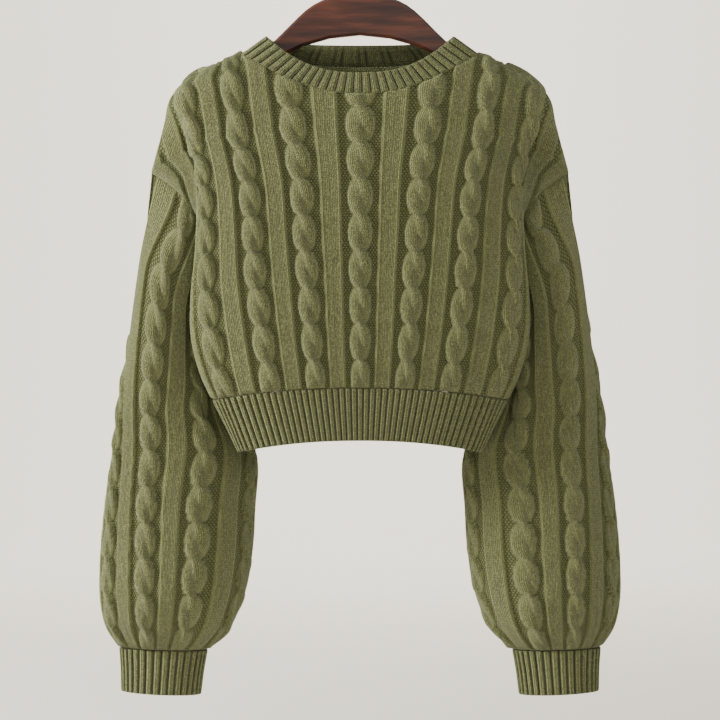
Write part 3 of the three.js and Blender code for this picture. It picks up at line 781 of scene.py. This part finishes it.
def wood_material():
    n = Nodes("walnut")
    grain = n.noise(40, 5.0, (0.35, 1, 3.5))
    streak = n.noise(330, 4.0, (0.08, 1, 1.6))
    base = n.ramp(grain, [
        (0.32, (0.02, 0.005, 0.003)),
        (0.5, (0.062, 0.015, 0.007)),
        (0.68, (0.13, 0.034, 0.014)),
    ])
    base = n.mix(n.math("MULTIPLY", streak, 0.6), base, (0.022, 0.006, 0.003))
    n.link(base, n.shader.inputs["Base Color"])
    n.shader.inputs["Roughness"].default_value = 0.4
    n.shader.inputs["Coat Weight"].default_value = 0.2
    n.shader.inputs["Coat Roughness"].default_value = 0.2
    bump = n.add("ShaderNodeBump")
    bump.inputs["Strength"].default_value = 0.25
    bump.inputs["Distance"].default_value = 0.0004
    n.link(streak, bump.inputs["Height"])
    n.link(bump.outputs[0], n.shader.inputs["Normal"])
    return n.material


def steel_material():
    n = Nodes("hook_steel")
    scratches = n.noise(900, 3.0, (1, 1, 0.1))
    base = n.ramp(scratches, [(0.3, (0.5, 0.5, 0.49)), (0.7, (0.72, 0.72, 0.7))])
    n.link(base, n.shader.inputs["Base Color"])
    n.shader.inputs["Metallic"].default_value = 1.0
    rough = n.math("ADD", n.math("MULTIPLY", scratches, 0.2), 0.5)
    n.link(rough, n.shader.inputs["Roughness"])
    return n.material


def plain_material(name, colour):
    n = Nodes(name)
    n.shader.inputs["Base Color"].default_value = (*colour, 1)
    n.shader.inputs["Roughness"].default_value = 0.9
    return n.material


# ---------------------------------------------------------------- stage, light and camera

CAMERA_DISTANCE = 2.2
SENSOR_WIDTH = 36.0
FRAME_WIDTH = 0.756
FRAME_MIDDLE_Z = -0.4455
FRONT_PLANE_Y = -0.03

FLOOR_Z = -0.94
COVE_SIDE = 9.0
COVE_FRONT_Y = -9.0
COVE_BACK_Y = 6.0
COVE_RADIUS = 2.5
COVE_TOP = 5.0
COVE_STEPS = 24
COVE_COLOUR = (0.82, 0.78, 0.7)
LIGHT_TARGET = (0, 0, -0.45)
WORLD_COLOUR = (0.95, 0.92, 0.86, 1)
WORLD_STRENGTH = 0.6


def make_stage():
    """A plain pale floor that curves up into a far wall, in one sheet."""
    line = [(COVE_FRONT_Y, FLOOR_Z)]
    for k in range(COVE_STEPS + 1):
        angle = math.pi / 2 * k / COVE_STEPS
        line.append((COVE_BACK_Y - COVE_RADIUS * (1 - math.sin(angle)),
                     FLOOR_Z + COVE_RADIUS * (1 - math.cos(angle))))
    line.append((COVE_BACK_Y, COVE_TOP))
    vertices = [(x, y, z) for y, z in line for x in (-COVE_SIDE, COVE_SIDE)]
    faces = [[2 * k, 2 * k + 1, 2 * k + 3, 2 * k + 2] for k in range(len(line) - 1)]
    mesh = bpy.data.meshes.new("cove")
    mesh.from_pydata(vertices, [], faces)
    mesh.polygons.foreach_set("use_smooth", [True] * len(mesh.polygons))
    mesh.materials.append(plain_material("cove_paint", COVE_COLOUR))
    cove = bpy.data.objects.new("cove", mesh)
    bpy.context.scene.collection.objects.link(cove)


def area_light(name, place, size, power, colour, target=LIGHT_TARGET):
    data = bpy.data.lights.new(name, "AREA")
    data.size = size
    data.energy = power
    data.color = colour
    light = bpy.data.objects.new(name, data)
    light.location = place
    direction = mathutils.Vector(target) - mathutils.Vector(place)
    light.rotation_euler = direction.to_track_quat("-Z", "Y").to_euler()
    bpy.context.scene.collection.objects.link(light)


def make_lights():
    area_light("window", (-1.75, -0.35, 0.25), 0.7, 88, (1.0, 0.98, 0.93))
    area_light("fill", (1.2, -2.2, 0.6), 1.4, 17, (1.0, 0.97, 0.92))
    area_light("wall_wash", (0, 2.6, 2.6), 2.5, 330, (1.0, 0.97, 0.92), (0, COVE_BACK_Y, -0.2))
    area_light("top", (0.1, -0.5, 1.7), 1.0, 9, (1.0, 0.98, 0.95))
    world = bpy.data.worlds.new("room")
    world.use_nodes = True
    background = world.node_tree.nodes["Background"]
    background.inputs["Color"].default_value = WORLD_COLOUR
    background.inputs["Strength"].default_value = WORLD_STRENGTH
    bpy.context.scene.world = world


def make_camera():
    data = bpy.data.cameras.new("camera")
    data.sensor_width = SENSOR_WIDTH
    data.lens = SENSOR_WIDTH * CAMERA_DISTANCE / FRAME_WIDTH
    camera = bpy.data.objects.new("camera", data)
    camera.location = (0, FRONT_PLANE_Y - CAMERA_DISTANCE, FRAME_MIDDLE_Z)
    camera.rotation_euler = (math.pi / 2, 0, 0)
    bpy.context.scene.collection.objects.link(camera)
    bpy.context.scene.camera = camera


# ---------------------------------------------------------------- assembly

KNIT_TINT = (0.125, 0.137, 0.056)
RIB_TINT = (0.122, 0.133, 0.055)


def declare(piece, node, material):
    piece.data.materials.append(material)
    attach(piece, "root")
    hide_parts(node)


make_camera()
make_lights()
make_stage()

knit = knit_material("cable_knit", KNIT_TINT)
rib = knit_material("ribbed_knit", RIB_TINT)
declare(panel("knit_front", -1), "front", knit)
declare(panel("knit_back", 1), "back", knit)
declare(hem_rib("rib_front", -1), "hem_rib_front", rib)
declare(hem_rib("rib_back", 1), "hem_rib_back", rib)
declare(neckband("rib_neck"), "neckband", rib)
for word, side in (("left", -1), ("right", 1)):
    declare(sleeve("knit_sleeve_" + word, side), "sleeve_" + word, knit)
    declare(cuff("rib_cuff_" + word, side), "cuff_" + word, rib)

for node, material in (("hanger_wood", wood_material()), ("hanger_hook", steel_material())):
    part = bpy.data.objects[node]
    part.data.materials.clear()
    part.data.materials.append(material)

bpy.context.view_layer.update()
